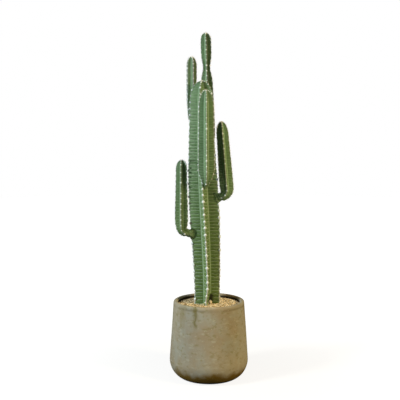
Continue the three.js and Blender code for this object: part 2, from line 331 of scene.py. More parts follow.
def grid_mesh(name, rings, first=None, last=None):
    """Closed skin over an array of rings (stations, points, 3), with a point at either end."""
    count, around = rings.shape[:2]
    points = rings.reshape(-1, 3)
    low = (np.arange(count - 1)[:, None] * around + np.arange(around)[None, :]).ravel()
    step = (np.arange(count - 1)[:, None] * around
            + (np.arange(around)[None, :] + 1) % around).ravel()
    faces = np.stack([low, step, step + around, low + around], 1).tolist()
    turn = (np.arange(around) + 1) % around
    if first is not None:
        points = np.vstack([points, first])
        faces += [[len(points) - 1, int(turn[i]), i] for i in range(around)]
    if last is not None:
        points = np.vstack([points, last])
        top = (count - 1) * around
        faces += [[len(points) - 1, top + i, top + int(turn[i])] for i in range(around)]
    mesh = bpy.data.meshes.new(name)
    mesh.from_pydata(points.tolist(), [], faces)
    mesh.polygons.foreach_set("use_smooth", [True] * len(mesh.polygons))
    return mesh


print("mesh helpers ready")

# %% The skin of one stem
areole_spots = {"place": [], "outward": [], "upward": [], "size": []}


def ribbed_stem(name, stem, side_steps, pitch, dot_size, dice):
    """Makes a stem's mesh and notes where its areoles sit.

    stem holds arrays, one entry per ring: centre, out, side, radius, valley, crest (radians),
    gap (how much is left of the valley after the first rib), foot_turn (how far that rib turns
    aside, radians), scar (how ringed its skin is), bloom (how waxy its rib edges are) and hollow
    (how strong the painted shade in that valley is). tip is the tip's place."""
    count = len(stem["radius"])
    usual = half_rib(stem["valley"], side_steps)
    deep = half_rib(stem["valley"] * stem["gap"], side_steps)
    flank_of = np.abs(np.arange(-side_steps, side_steps)) / side_steps
    per_rib = 2 * side_steps
    rings = np.zeros((count, RIBS * per_rib, 3))
    flank = np.tile(flank_of, (count, RIBS))
    crests = []
    for rib in range(RIBS):
        before = deep if rib == 1 else usual
        after = deep if rib == 0 else usual
        offset = np.hstack([-before[0][:, :0:-1], after[0][:, :-1]])
        reach = np.hstack([before[1][:, :0:-1], after[1][:, :-1]])
        turn = stem["crest"][:, None] + rib * 2 * HALF_RIB + offset
        if rib == 0:
            turn = turn + stem["foot_turn"][:, None] * (1 - flank_of)
        radius = stem["radius"][:, None] * reach
        columns = slice(rib * per_rib, (rib + 1) * per_rib)
        rings[:, columns] = (stem["centre"][:, None]
                             + (radius * np.cos(turn))[..., None] * stem["out"][:, None]
                             + (radius * np.sin(turn))[..., None] * stem["side"][:, None])
        crests.append(rings[:, rib * per_rib + side_steps])
    to_areole = np.zeros((count, RIBS * per_rib))
    to_middle = np.zeros_like(to_areole)
    swell = np.zeros_like(to_areole)
    along = np.zeros_like(to_areole)
    for rib, line in enumerate(crests):
        whole = np.vstack([line, stem["tip"]])
        gaps = np.linalg.norm(np.diff(whole, axis=0), axis=1)
        distance = np.append(np.cumsum(gaps[::-1])[::-1], 0)
        places = areole_distances(distance[0], pitch, dice)
        signed, halfway, between = rib_marks(distance[:-1], places)
        columns = slice(rib * per_rib, (rib + 1) * per_rib)
        to_areole[:, columns] = signed[:, None]
        to_middle[:, columns] = halfway[:, None]
        swell[:, columns] = between[:, None]
        along[:, columns] = distance[:-1, None]
        note_areoles(stem, whole, distance, places, dot_size)
    mesh = grid_mesh(name, rings, stem["centre"][0], stem["tip"])
    # painted shade in the valley between the first two ribs
    hollow = np.zeros_like(to_areole)
    shared = slice(side_steps, 3 * side_steps)      # from the first crest to the second
    hollow[:, shared] = stem["hollow"][:, None] * flank[:, shared]
    scar = np.repeat(stem["scar"][:, None], RIBS * per_rib, axis=1)
    bloom = np.repeat(stem["bloom"][:, None], RIBS * per_rib, axis=1)
    layers = {                # values on the rings, then at the first point and at the tip
        "flank": (flank, 0, 1), "to_areole": (to_areole, 0, 0), "to_middle": (to_middle, 0, 0),
        "swell": (swell, 0, 0), "along": (along, distance[0], 0), "scar": (scar, 0, 0),
        "bloom": (bloom, 1, 1), "hollow": (hollow, 0, 0),
    }
    for layer, (values, at_first, at_tip) in layers.items():
        add_floats(mesh, layer, np.append(values.ravel(), [at_first, at_tip]))
    return shown(name, mesh)


def point_on(line, distance, here):
    """The point of a line at that distance from the tip."""
    return np.array([np.interp(here, distance[::-1], line[::-1, axis]) for axis in range(3)])


def note_areoles(stem, line, distance, places, dot_size):
    """Adds one rib's areoles to areole_spots, leaving out those inside the trunk or gravel."""
    middle = np.vstack([stem["centre"], stem["tip"]])
    free = np.append(stem["free"], True).astype(float)
    for here in places:
        if np.interp(here, distance[::-1], free[::-1]) < 0.5:
            continue
        spot = point_on(line, distance, here)
        core = point_on(middle, distance, here)
        above = point_on(line, distance, here - AREOLE_REACH)
        below = point_on(line, distance, here + AREOLE_REACH)
        upward = (above - below) / np.linalg.norm(above - below)
        outward = spot - core
        outward -= upward * outward.dot(upward)
        outward /= np.linalg.norm(outward)
        areole_spots["place"].append(spot)
        areole_spots["outward"].append(outward)
        areole_spots["upward"].append(upward)
        crowded = ease(here, 0, CROWDED_LENGTH, 0.8, 1.0)
        age = ease(here, *OLD_WOOL_FROM, 1.0, OLD_WOOL)
        areole_spots["size"].append(dot_size * float(crowded * age))


print("stem maker ready")

# %% [markdown]
# ## The trunk
#
# The trunk stands flat on the soil, swells to its widest about half way up and narrows again to
# a rounded top. It leans slightly to the left, and its ribs turn by a few degrees on the way.
# The valley on the right of the front rib opens into a deep gap at the gravel.

# %% Trunk stations and skin
TRUNK_AXIS_FOOT = -0.009
TRUNK_AXIS_TOP = -0.031
TRUNK_LEAN = (0.400, 1.120)
TRUNK_FOOT_RADIUS = 0.057
TRUNK_BELLY_RADIUS = 0.0675
TRUNK_BELLY_HEIGHT = 0.790
TRUNK_SHOULDER_RADIUS = 0.0525
TRUNK_SHOULDER_HEIGHT = 1.250
TRUNK_DOME = 0.097
TRUNK_CRESTS = (-86, -102)
GAP_DEPTH = 0.3
GAP_HEIGHTS = (0.338, 0.392)
FOOT_TURN = -11               # the front rib's foot turns aside by this, in degrees
FOOT_TURN_TO = 0.420
DOME_POWER = 2.2
RING_STEP = 0.0026
TRUNK_PITCH = 0.0272          # spacing of the woolly dots, and their size
TRUNK_DOT = 0.0027
ARM_PITCH = 0.0228
ARM_DOT = 0.0022
TRUNK_STEPS = 12              # points from a crest to the valley
ARM_STEPS = 9


def dome(u):
    u = np.clip(u, 0, 1)
    return (1 - u ** DOME_POWER) ** (1 / DOME_POWER)


def stations(start, end, dome_length):
    """Even steps up a stem, closing up in its rounded top and stopping just short of the tip."""
    shoulder = end - dome_length
    straight = np.linspace(start, shoulder, int((shoulder - start) / RING_STEP) + 1)
    turns = np.linspace(0, math.pi / 2, int(1.3 * dome_length / RING_STEP) + 2)[1:-1]
    return np.append(straight, shoulder + dome_length * np.sin(turns))


def trunk_axis(height):
    return ease(height, *TRUNK_LEAN, TRUNK_AXIS_FOOT, TRUNK_AXIS_TOP)


def trunk_radius(height):
    rising = ease(height, soil_top, TRUNK_BELLY_HEIGHT, TRUNK_FOOT_RADIUS, TRUNK_BELLY_RADIUS)
    falling = ease(height, TRUNK_BELLY_HEIGHT, TRUNK_SHOULDER_HEIGHT,
                   TRUNK_BELLY_RADIUS, TRUNK_SHOULDER_RADIUS)
    return np.where(height < TRUNK_BELLY_HEIGHT, rising, falling)


z = stations(soil_top + 0.0003, trunk_tip, TRUNK_DOME)
flat = np.zeros_like(z)
trunk_stem = {
    "centre": np.stack([trunk_axis(z), flat, z], 1),
    "out": np.tile((1.0, 0.0, 0.0), (len(z), 1)),
    "side": np.tile((0.0, 1.0, 0.0), (len(z), 1)),
    "radius": trunk_radius(z) * dome((z - trunk_tip + TRUNK_DOME) / TRUNK_DOME),
    "valley": flat + VALLEY,
    "crest": np.radians(np.interp(z, (soil_top, trunk_tip), TRUNK_CRESTS)),
    "gap": ease(z, *GAP_HEIGHTS, GAP_DEPTH, 1),
    "foot_turn": np.radians(ease(z, GAP_HEIGHTS[0], FOOT_TURN_TO, FOOT_TURN, 0)),
    "scar": flat,
    "bloom": ease(z, 0.57, 0.68, 1.0, 0.3),
    # painted shade in the trunk's gap, strongest at the gravel
    "hollow": ease(z, 0.372, 0.404, 1.0, 0.0),
    "free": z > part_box("gravel")[1].z + 0.006,
    "tip": np.array([[float(trunk_axis(trunk_tip)), 0, trunk_tip]]),
}
dice = np.random.default_rng(11)
trunk = ribbed_stem("trunk_skin", trunk_stem, TRUNK_STEPS, TRUNK_PITCH, TRUNK_DOT, dice)
print("trunk", len(trunk.data.polygons), "faces,", len(areole_spots["place"]), "areoles")

# %% [markdown]
# ## The arms
#
# Each arm starts as a narrow neck on a rib of the trunk, swells where it joins, bends upright
# within a hand's width and then grows straight up, thickening quickly. Its path is a level or
# climbing line, a quarter turn and an upright line, all worked out from a few named sizes. The
# tall arm at the back has a waist, a pinch left by a season of poor growth.

# %% Named sizes of the five arms
ARMS = {
    "arm_front": dict(root=0.877, heading=-83, climb=0, reach=0.098, bend=0.034, flare=0.024,
                      neck=0.011, neck_at=0.064, full_at=0.150, girth=0.0365, top=0.033,
                      dome=0.079, lean=-0.001, crest=-88),
    "arm_right": dict(root=0.793, heading=-23, climb=18, reach=0.107, bend=0.032, flare=0.027,
                      neck=0.019, neck_at=0.074, full_at=0.145, girth=0.0315, top=0.027,
                      dome=0.062, lean=-0.024, crest=-90),
    "arm_left": dict(root=0.640, heading=205, climb=12, reach=0.116, bend=0.028, flare=0.0255,
                     neck=0.017, neck_at=0.086, full_at=0.165, girth=0.0295, top=0.025,
                     dome=0.040, lean=0.0, crest=-97),
    "arm_back_left": dict(root=1.104, heading=128, climb=28, reach=0.077, bend=0.052,
                          flare=0.020, neck=0.013, neck_at=0.058, full_at=0.185, girth=0.023,
                          top=0.023, dome=0.042, lean=0.0, crest=-66, valley=0.58),
    "arm_back_tall": dict(root=0.992, heading=72, climb=20, reach=0.088, bend=0.050,
                          flare=0.024, neck=0.017, neck_at=0.064, full_at=0.160, girth=0.031,
                          top=0.0235, dome=0.036, lean=-0.013, crest=-90,
                          waist=(1.386, 0.37, 0.036)),
}
FLARE_FROM = 0.030
FLARE_AT = 0.060
SLIM_FROM = 0.050             # up to here the swelling follows the trunk's thin rib
SLIM = 0.36                   # and is only this share as wide as it is tall
RING_RIPPLE = 0.0006          # height of the scar rings round the neck
RING_SPACING = 0.0052
print(len(ARMS), "arms")

# %% Path, girth and skin of each arm
def arm_stem(name, arm):
    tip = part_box(name + "_column")[1].z
    heading, climb = math.radians(arm["heading"]), math.radians(arm["climb"])
    along = np.array([math.cos(heading), math.sin(heading), 0])
    up = np.array([0, 0, 1.0])
    neck_length = (arm["reach"] - arm["bend"] * (1 - math.sin(climb))) / math.cos(climb)
    bend_length = arm["bend"] * (math.pi / 2 - climb)
    root = np.array([float(trunk_axis(arm["root"])), 0, arm["root"]])
    heel = root + neck_length * (math.cos(climb) * along + math.sin(climb) * up)
    foot = heel[2] + arm["bend"] * math.cos(climb)
    length = neck_length + bend_length + tip - foot

    def place(s):
        s = np.asarray(s, float)
        slope = np.clip(climb + (s - neck_length) / arm["bend"], climb, math.pi / 2)
        straight = np.clip(s / neck_length, 0, 1)[:, None] * (heel - root)
        sideways = arm["bend"] * (np.sin(slope) - math.sin(climb))
        upwards = arm["bend"] * (math.cos(climb) - np.cos(slope))
        upwards += np.maximum(0, s - neck_length - bend_length)
        centre = root + straight + sideways[:, None] * along + upwards[:, None] * up
        centre[:, 0] += arm["lean"] * np.maximum(0, (centre[:, 2] - foot) / (tip - foot))
        out = np.sin(slope)[:, None] * along - np.cos(slope)[:, None] * up
        return centre, out

    s = stations(FLARE_FROM, length, arm["dome"])
    centre, out = place(s)
    radius = np.select(
        [s < FLARE_AT, s < arm["neck_at"], s < arm["full_at"]],
        [ease(s, FLARE_FROM, FLARE_AT, 0.3 * arm["flare"], arm["flare"]),
         ease(s, FLARE_AT, arm["neck_at"], arm["flare"], arm["neck"]),
         ease(s, arm["neck_at"], arm["full_at"], arm["neck"], arm["girth"])],
        ease(s, arm["full_at"], length - arm["dome"], arm["girth"], arm["top"]))
    if "waist" in arm:
        height, depth, reach = arm["waist"]
        radius = radius * (1 - depth * np.exp(-((centre[:, 2] - height) / reach) ** 2))
    scar = ease(s, FLARE_AT, arm["neck_at"] + 0.004, 1, 0)
    radius = radius + RING_RIPPLE * scar * np.sin(2 * math.pi * s / RING_SPACING)
    return {
        "centre": centre, "out": out,
        "side": ease(s, SLIM_FROM, arm["neck_at"], SLIM, 1)[:, None] * np.cross(up, along),
        "radius": radius * dome((s - length + arm["dome"]) / arm["dome"]),
        "valley": ease(s, 0.8 * arm["neck_at"], arm["full_at"], ROUND_VALLEY,
                       arm.get("valley", VALLEY)),
        "crest": np.full(len(s), math.radians(arm["crest"] - arm["heading"])),
        "gap": np.ones(len(s)), "foot_turn": np.zeros(len(s)),
        "scar": scar, "bloom": ease(s, arm["neck_at"], arm["full_at"], 0.1, 1.0),
        "hollow": np.zeros(len(s)),
        "free": s > arm["neck_at"] + 0.014,
        "tip": place([length])[0],
    }


arms = {}
for name, arm in ARMS.items():
    arms[name] = ribbed_stem(name + "_skin", arm_stem(name, arm), ARM_STEPS, ARM_PITCH, ARM_DOT,
                             dice)
    print(name, len(arms[name].data.polygons), "faces")
print(len(areole_spots["place"]), "areoles in all")

# %% [markdown]
# ## Relief of the skin
#
# Close up, the skin isn't smooth. Every areole sits in a notch of the rib's edge, the edge swells
# between two of them, and a thin crease runs from each notch across the flank, with fainter
# ripples between. That is a rule, so a Geometry Nodes tree makes it: it reads the numbers kept
# on the points, moves each point along its normal and stores where the creases are, for the
# material to colour. Every size is a named input of the tree.

# %% Helpers for trees that change a mesh
def geometry_tree(name, inputs):
    """A Geometry Nodes tree with named inputs: name to (socket type, default)."""
    tree = bpy.data.node_groups.new(name, "GeometryNodeTree")
    face = tree.interface
    face.new_socket("Geometry", in_out="INPUT", socket_type="NodeSocketGeometry")
    face.new_socket("Geometry", in_out="OUTPUT", socket_type="NodeSocketGeometry")
    for label, (kind, default) in inputs.items():
        socket = face.new_socket(label, in_out="INPUT", socket_type=kind)
        if default is not None:
            socket.default_value = default
    return tree, add_node(tree, "NodeGroupInput").outputs, add_node(tree, "NodeGroupOutput").inputs


def run_tree(piece, tree, name, values):
    """Runs a tree on a piece and returns the result as a new plain piece; the old one goes."""
    modifier = piece.modifiers.new(tree.name, "NODES")
    modifier.node_group = tree
    for item in tree.interface.items_tree:
        if item.in_out == "INPUT" and item.name in values:
            modifier[item.identifier] = values[item.name]
    graph = bpy.context.evaluated_depsgraph_get()
    mesh = bpy.data.meshes.new_from_object(piece.evaluated_get(graph), depsgraph=graph)
    mesh.name = name
    bpy.data.objects.remove(piece)
    return shown(name, mesh)


def named_value(tree, name, kind="FLOAT"):
    return add_node(tree, "GeometryNodeInputNamedAttribute", {"Name": name},
                    data_type=kind).outputs["Attribute"]


def noise_at(tree, place, scale, detail=2.0):
    return add_node(tree, "ShaderNodeTexNoise",
                    {"Vector": place, "Scale": scale, "Detail": detail}, noise_dimensions="3D")


def vector_of(tree, x, y, z):
    return add_node(tree, "ShaderNodeCombineXYZ", enumerate((x, y, z))).outputs[0]


def part_of(tree, vector, axis):
    """One number of a vector: axis 0 is x, 1 is y and 2 is z."""
    return add_node(tree, "ShaderNodeSeparateXYZ", {0: vector}).outputs[axis]


def scaled_vector(tree, vector, factor):
    return add_node(tree, "ShaderNodeVectorMath", {0: vector, "Scale": factor},
                    operation="SCALE").outputs[0]


def moved(tree, geometry, offset):
    return add_node(tree, "GeometryNodeSetPosition",
                    {"Geometry": geometry, "Offset": offset}).outputs[0]


def painted(tree, geometry, material, target):
    """The last steps of each tree: real geometry, shaded smooth, with its material."""
    whole = add_node(tree, "GeometryNodeRealizeInstances", {0: geometry}).outputs[0]
    smooth = add_node(tree, "GeometryNodeSetShadeSmooth", {"Geometry": whole}).outputs[0]
    done = add_node(tree, "GeometryNodeSetMaterial", {"Geometry": smooth, "Material": material})
    tree.links.new(done.outputs[0], target)


print("tree helpers ready")

# %% The skin relief tree
FLOAT = "NodeSocketFloat"
DRIFT = 0.010                 # how far a crease wanders up or down
DRIFT_SCALE = 55.0
LIP_RISE = 0.0032             # how far the painted highlight on a crease's lip lies above it
relief, given, result = geometry_tree("skin_relief", {
    "Notch Depth": (FLOAT, 0.0034), "Notch Width": (FLOAT, 0.0046),
    "Edge Swell": (FLOAT, 0.0024), "Crease Depth": (FLOAT, 0.0013),
    "Crease Width": (FLOAT, 0.0013), "Middle Crease": (FLOAT, 0.9),
    "Quarter Crease": (FLOAT, 0.3), "Ripple": (FLOAT, 0.0005),
    "Ripples Per Metre": (FLOAT, 230.0), "Unevenness": (FLOAT, 0.0022),
    "Crease Shade": (FLOAT, 1.0), "Young Length": (FLOAT, 0.30),
    "Skin Material": ("NodeSocketMaterial", None),
})
flank = named_value(relief, "flank")
to_areole = named_value(relief, "to_areole")
along = named_value(relief, "along")
between = named_value(relief, "swell")
place = add_node(relief, "GeometryNodeInputPosition").outputs[0]

# Creases: one at each areole, one in the middle between two and a faint one at each quarter.
wobble = minus(relief, noise_at(relief, place, DRIFT_SCALE).outputs[0], 0.5)
crease_line = plus(relief, to_areole, times(relief, wobble, DRIFT))
from_middle = plus(relief, calc(relief, "SQRT", minus(relief, 1.0, between)),
                   times(relief, wobble, 0.55))
from_quarter = plus(relief, minus(relief, 1.0, times(relief, between, 2.0)), wobble)
on_flank = times(relief, ramp(relief, flank, 0.10, 0.26), ramp(relief, flank, 1.0, 0.72))
main = bell(relief, crease_line, given["Crease Width"])
middle = times(relief, bell(relief, from_middle, 0.16), given["Middle Crease"])
quarters = times(relief, bell(relief, from_quarter, 0.28), given["Quarter Crease"])
crease = calc(relief, "MAXIMUM", calc(relief, "MAXIMUM", main, middle), quarters)
crease = times(relief, crease, on_flank)
# The lip above each crease, where the material paints a highlight.
lip = calc(relief, "MAXIMUM",
           bell(relief, minus(relief, crease_line, LIP_RISE), given["Crease Width"]),
           bell(relief, minus(relief, from_middle, 0.42), 0.2))
lip = times(relief, lip, on_flank)

# Fine ripples, long across the flank and close together along the rib.
bands = vector_of(relief, times(relief, along, given["Ripples Per Metre"]),
                  times(relief, flank, 0.9), times(relief, part_of(relief, place, 0), 14.0))
ripple = noise_at(relief, bands, 1.0, 1.0).outputs[0]
ripple = times(relief, ramp(relief, ripple, 0.36, 0.5, 1.0, 0.0), on_flank)

# Every point moves out along its normal by its rise.
lump = times(relief, minus(relief, noise_at(relief, place, 17.0).outputs[0], 0.5),
             given["Unevenness"])
swelling = times(relief, between, bell(relief, flank, 0.30), given["Edge Swell"])
notch = times(relief, bell(relief, to_areole, given["Notch Width"]), bell(relief, flank, 0.2),
              given["Notch Depth"])
rise = minus(relief, plus(relief, lump, swelling), notch,
             times(relief, crease, given["Crease Depth"]), times(relief, ripple, given["Ripple"]))
normal = add_node(relief, "GeometryNodeInputNormal").outputs[0]
made = moved(relief, given["Geometry"], scaled_vector(relief, normal, rise))

aged = times(relief, ramp(relief, along, 0.05, given["Young Length"], 0.3, 1.0),
             given["Crease Shade"])
for label, mask in (("crease", crease), ("ripple", ripple), ("lip", lip), ("aged", 1.0)):
    made = add_node(relief, "GeometryNodeStoreNamedAttribute",
                    {"Geometry": made, "Name": label, "Value": times(relief, mask, aged)},
                    data_type="FLOAT", domain="POINT").outputs[0]
painted(relief, made, given["Skin Material"], result[0])
print("skin_relief has", len(relief.nodes), "nodes")

# %% [markdown]
# ## Materials
#
# Two small shader groups are shared. `mottling` gives a broad and a fine blotch pattern, and
# `fine_grain` a slightly rough surface normal. Both read the object's own coordinates, so the
# pattern stays put on the plant. Each material then mixes its own colours.

# %% Shader helpers and the two shared groups
def shader_group(name, inputs, outputs):
    tree = bpy.data.node_groups.new(name, "ShaderNodeTree")
    for label, default in inputs.items():
        socket = tree.interface.new_socket(label, in_out="INPUT", socket_type=FLOAT)
        socket.default_value = default
    for label, kind in outputs.items():
        tree.interface.new_socket(label, in_out="OUTPUT", socket_type=kind)
    return tree, add_node(tree, "NodeGroupInput").outputs, add_node(tree, "NodeGroupOutput").inputs


def own_place(tree):
    return add_node(tree, "ShaderNodeTexCoord").outputs["Object"]


def height_of(tree):
    return part_of(tree, own_place(tree), 2)


def noise_of(tree, scale, detail=2.0, stretch=(1.0, 1.0, 1.0)):
    """Noise in the object's coordinates, with each axis scaled by its stretch."""
    place = add_node(tree, "ShaderNodeVectorMath", {0: own_place(tree), 1: stretch},
                     operation="MULTIPLY").outputs[0]
    return noise_at(tree, place, scale, detail).outputs[0]


mottling, given, result = shader_group(
    "mottling", {"Scale": 12.0}, {"Broad": FLOAT, "Fine": FLOAT})
feed(mottling, result["Broad"], ramp(mottling, noise_of(mottling, given["Scale"]), 0.32, 0.68))
fine_scale = times(mottling, given["Scale"], 6.0)
feed(mottling, result["Fine"], ramp(mottling, noise_of(mottling, fine_scale, 4.0), 0.3, 0.7))

fine_grain, given, result = shader_group(
    "fine_grain", {"Scale": 600.0, "Strength": 0.2, "Height": 0.0004},
    {"Normal": "NodeSocketVector"})
grain_bump = add_node(fine_grain, "ShaderNodeBump", {
    "Height": noise_of(fine_grain, given["Scale"], 3.0), "Strength": given["Strength"],
    "Distance": given["Height"]})
feed(fine_grain, result["Normal"], grain_bump.outputs[0])


def use_group(tree, group, **values):
    return add_node(tree, "ShaderNodeGroup", values, node_tree=group).outputs


def mix(tree, factor, first, second):
    """Mixes two colours. Each is a socket or a plain RGB triple."""
    first, second = (colour if isinstance(colour, bpy.types.NodeSocket) else (*colour, 1)
                     for colour in (first, second))
    return add_node(tree, "ShaderNodeMix", {"Factor": factor, "A": first, "B": second},
                    data_type="RGBA").outputs["Result"]


def tinted(tree, colour, tint, *factors):
    """The colour, mixed towards a tint by the product of the factors."""
    return mix(tree, times(tree, *factors), colour, tint)


def mesh_value(tree, name):
    return add_node(tree, "ShaderNodeAttribute", attribute_name=name).outputs["Fac"]


def wire_up(tree, shader, colour, **grain):
    """Gives the material its colour and the fine grain's normal."""
    tree.links.new(colour, shader.inputs["Base Color"])
    tree.links.new(use_group(tree, fine_grain, **grain)["Normal"], shader.inputs["Normal"])


print("groups", mottling.name, fine_grain.name)

# %% Cactus skin
# Deep green on the flanks, a pale waxy bloom in the valleys and along the ribs' edges, fresh green
# at the growing tips, painted shade in the creases and in the trunk's gap, a painted highlight on
# each crease's lip, and corky rings round the necks.
DEEP_GREEN = (0.092, 0.190, 0.066)
OLD_GREEN = (0.106, 0.180, 0.026)
PALE_GREEN = (0.160, 0.285, 0.130)
WAX_AND_HIGHLIGHT = (0.260, 0.370, 0.250)
EDGE_WAX = (0.410, 0.420, 0.430)
LIP_HIGHLIGHT = (0.300, 0.410, 0.260)
GAP_SHADE = (0.024, 0.034, 0.010)
FRESH_GREEN = (0.100, 0.185, 0.095)
CREASE_SHADE = (0.030, 0.055, 0.016)
CORK = (0.165, 0.150, 0.085)

LINE_WIDTH = 0.0013
LINE_STRENGTH = 0.95

skin, tree, shader = new_material("cactus_skin", 0.52)
blotch = use_group(tree, mottling, Scale=16.0)
skin_flank = mesh_value(tree, "flank")
colour = tinted(tree, DEEP_GREEN, PALE_GREEN, blotch["Broad"], 0.55)
colour = tinted(tree, colour, WAX_AND_HIGHLIGHT, blotch["Fine"], 0.22)
colour = tinted(tree, colour, OLD_GREEN, ramp(tree, height_of(tree), 1.05, 0.45, 0.0, 0.78))
colour = tinted(tree, colour, WAX_AND_HIGHLIGHT, ramp(tree, skin_flank, 0.90, 0.99), 0.6)
colour = tinted(tree, colour, EDGE_WAX, ramp(tree, skin_flank, 0.44, 0.06), 0.82,
                mesh_value(tree, "bloom"))
colour = tinted(tree, colour, FRESH_GREEN, ramp(tree, mesh_value(tree, "along"), 0.09, 0.0), 0.6)
# Painted highlight on the creases' lip, and painted shade in the ripples and creases.
colour = tinted(tree, colour, WAX_AND_HIGHLIGHT, mesh_value(tree, "lip"), 0.2)
colour = tinted(tree, colour, CREASE_SHADE, mesh_value(tree, "ripple"), 0.28)
colour = tinted(tree, colour, CREASE_SHADE, mesh_value(tree, "crease"), 0.4)

# Fine lines along the creases: painted shade in each, and a painted highlight on its lip.
drift = times(tree, minus(tree, noise_of(tree, DRIFT_SCALE), 0.5), DRIFT)
creases = [plus(tree, mesh_value(tree, label), drift) for label in ("to_areole", "to_middle")]
broken = ramp(tree, noise_of(tree, 95.0, 2.0, (1.0, 1.0, 0.7)), 0.30, 0.50, 0.25, 1.0)
on_flank = times(tree, ramp(tree, skin_flank, 0.05, 0.16), ramp(tree, skin_flank, 1.0, 0.86))
for tint, rise in ((CREASE_SHADE, 0.0), (LIP_HIGHLIGHT, LIP_RISE)):
    line = calc(tree, "MAXIMUM", *(bell(tree, minus(tree, crease, rise), LINE_WIDTH)
                                   for crease in creases))
    colour = tinted(tree, colour, tint, line, on_flank, mesh_value(tree, "aged"), broken,
                    LINE_STRENGTH)
rings = ramp(tree, noise_of(tree, 260.0, 1.0, (0.25, 0.25, 1.0)), 0.35, 0.62)
colour = tinted(tree, colour, CORK, mesh_value(tree, "scar"), rings, 0.2)
colour = tinted(tree, colour, CORK, ramp(tree, noise_of(tree, 210.0), 0.70, 0.78), 0.5)
# Painted shade in the trunk's gap.
colour = tinted(tree, colour, GAP_SHADE, ramp(tree, mesh_value(tree, "hollow"), 0.60, 0.84))
wire_up(tree, shader, colour, Scale=900.0, Strength=0.25, Height=0.0003)
tree.links.new(ramp(tree, blotch["Fine"], 0, 1, 0.44, 0.62), shader.inputs["Roughness"])
print(skin.name, len(tree.nodes), "nodes")

# %% Clay, soil, gravel bed and the small things
# The pot is weathered: blotched grey and brown, darker near its foot with dirt and painted shade,
# with lime bloom, tiny pits and damp streaks that run down from the rim.
CLAY_GREY = (0.322, 0.320, 0.262)
CLAY_BROWN = (0.298, 0.236, 0.146)
CLAY_LIME = (0.420, 0.400, 0.312)
CLAY_UNDER_RIM = (0.125, 0.095, 0.030)
CLAY_DIRT_AND_SHADE = (0.152, 0.090, 0.006)
CLAY_OLIVE = (0.190, 0.165, 0.050)
CLAY_WET = (0.150, 0.128, 0.034)
CLAY_SHADE = (0.022, 0.017, 0.010)
CLAY_PIT = (0.600, 0.580, 0.460)

STREAK_LEFT = 0.046           # the long damp streak starts about this far left of the middle

clay, tree, shader = new_material("weathered_clay", 0.88)
shader.inputs["Specular IOR Level"].default_value = 0.25
patch = use_group(tree, mottling, Scale=9.0)
x, y, height = (part_of(tree, own_place(tree), axis) for axis in range(3))
colour = tinted(tree, CLAY_GREY, CLAY_BROWN, patch["Broad"], 0.85)
colour = tinted(tree, colour, CLAY_LIME, ramp(tree, noise_of(tree, 5.0, 5.0), 0.42, 0.66), 0.55)
colour = tinted(tree, colour, CLAY_BROWN, patch["Fine"], 0.35)
marks = ramp(tree, noise_of(tree, 46.0, 4.0, (1.0, 1.0, 1.6)), 0.54, 0.68)
colour = tinted(tree, colour, CLAY_OLIVE, marks, 0.45)
marks = ramp(tree, noise_of(tree, 31.0, 4.0, (1.0, 1.0, 2.4)), 0.55, 0.70)
colour = tinted(tree, colour, CLAY_LIME, marks, 0.5)

# Dirt and painted shade round the foot, faint streaks from the rim and one long damp one.
foot_edge = plus(tree, height, times(tree, noise_of(tree, 21.0, 6.0), -0.075))
colour = tinted(tree, colour, CLAY_DIRT_AND_SHADE, ramp(tree, foot_edge, 0.036, -0.002))
streak = ramp(tree, noise_of(tree, 30.0, 2.0, (1.0, 1.0, 0.16)), 0.55, 0.74)
colour = tinted(tree, colour, CLAY_OLIVE, streak, ramp(tree, height, 0.17, 0.335), 0.4)
run_off = plus(tree, x, STREAK_LEFT, times(tree, noise_of(tree, 48.0), 0.030))
colour = tinted(tree, colour, CLAY_WET, bell(tree, run_off, 0.0080),
                ramp(tree, height, 0.244, 0.276), ramp(tree, y, 0.0, -0.05, 0.0, 0.8))

# Shade between the gravel and the wall, a dark line under the rim, and pale pits.
from_axis = calc(tree, "SQRT", plus(tree, times(tree, x, x), times(tree, y, y)))
colour = tinted(tree, colour, CLAY_SHADE, ramp(tree, from_axis, 0.1470, 0.1425),
                ramp(tree, height, 0.3465, 0.3390))
under_rim = bell(tree, minus(tree, height, 0.3335), 0.0045)
colour = tinted(tree, colour, CLAY_UNDER_RIM, under_rim,
                ramp(tree, noise_of(tree, 7.0), 0.35, 0.62, 0.08, 0.5))
colour = tinted(tree, colour, CLAY_PIT, ramp(tree, noise_of(tree, 150.0, 1.0), 0.745, 0.79), 0.7)
wire_up(tree, shader, colour, Scale=420.0, Strength=0.55, Height=0.0008)

soil_material, tree, shader = new_material("potting_soil", 0.95)
crumb = use_group(tree, mottling, Scale=70.0)
colour = mix(tree, crumb["Broad"], (0.035, 0.024, 0.014), (0.085, 0.058, 0.032))
colour = tinted(tree, colour, (0.13, 0.09, 0.05), crumb["Fine"], 0.4)
wire_up(tree, shader, colour, Scale=300.0, Strength=0.9, Height=0.002)

bed_material, tree, shader = new_material("gravel_bed", 0.92)
grit = use_group(tree, mottling, Scale=95.0)
colour = mix(tree, grit["Broad"], (0.14, 0.094, 0.040), (0.34, 0.25, 0.12))
colour = tinted(tree, colour, (0.62, 0.49, 0.28), grit["Fine"], 0.5)
wire_up(tree, shader, colour, Scale=260.0, Strength=0.9, Height=0.002)

wool_material = new_material("areole_wool", 0.95, (0.68, 0.75, 0.76))[0]
spine_material = new_material("spine_straw", 0.6, (0.60, 0.50, 0.33))[0]
GRAIN_COLOURS = {
    "pale": (0.96, 0.84, 0.57), "tan": (0.72, 0.53, 0.26),
    "brown": (0.24, 0.15, 0.055), "grey": (0.66, 0.55, 0.37),
}
grain_materials = {kind: new_material("grain_" + kind, 0.85, colour)[0]
                   for kind, colour in GRAIN_COLOURS.items()}
print(len(bpy.data.materials), "materials")

# %% Run the relief on the trunk and the arms
def face_count(piece):
    return len(piece.data.polygons)


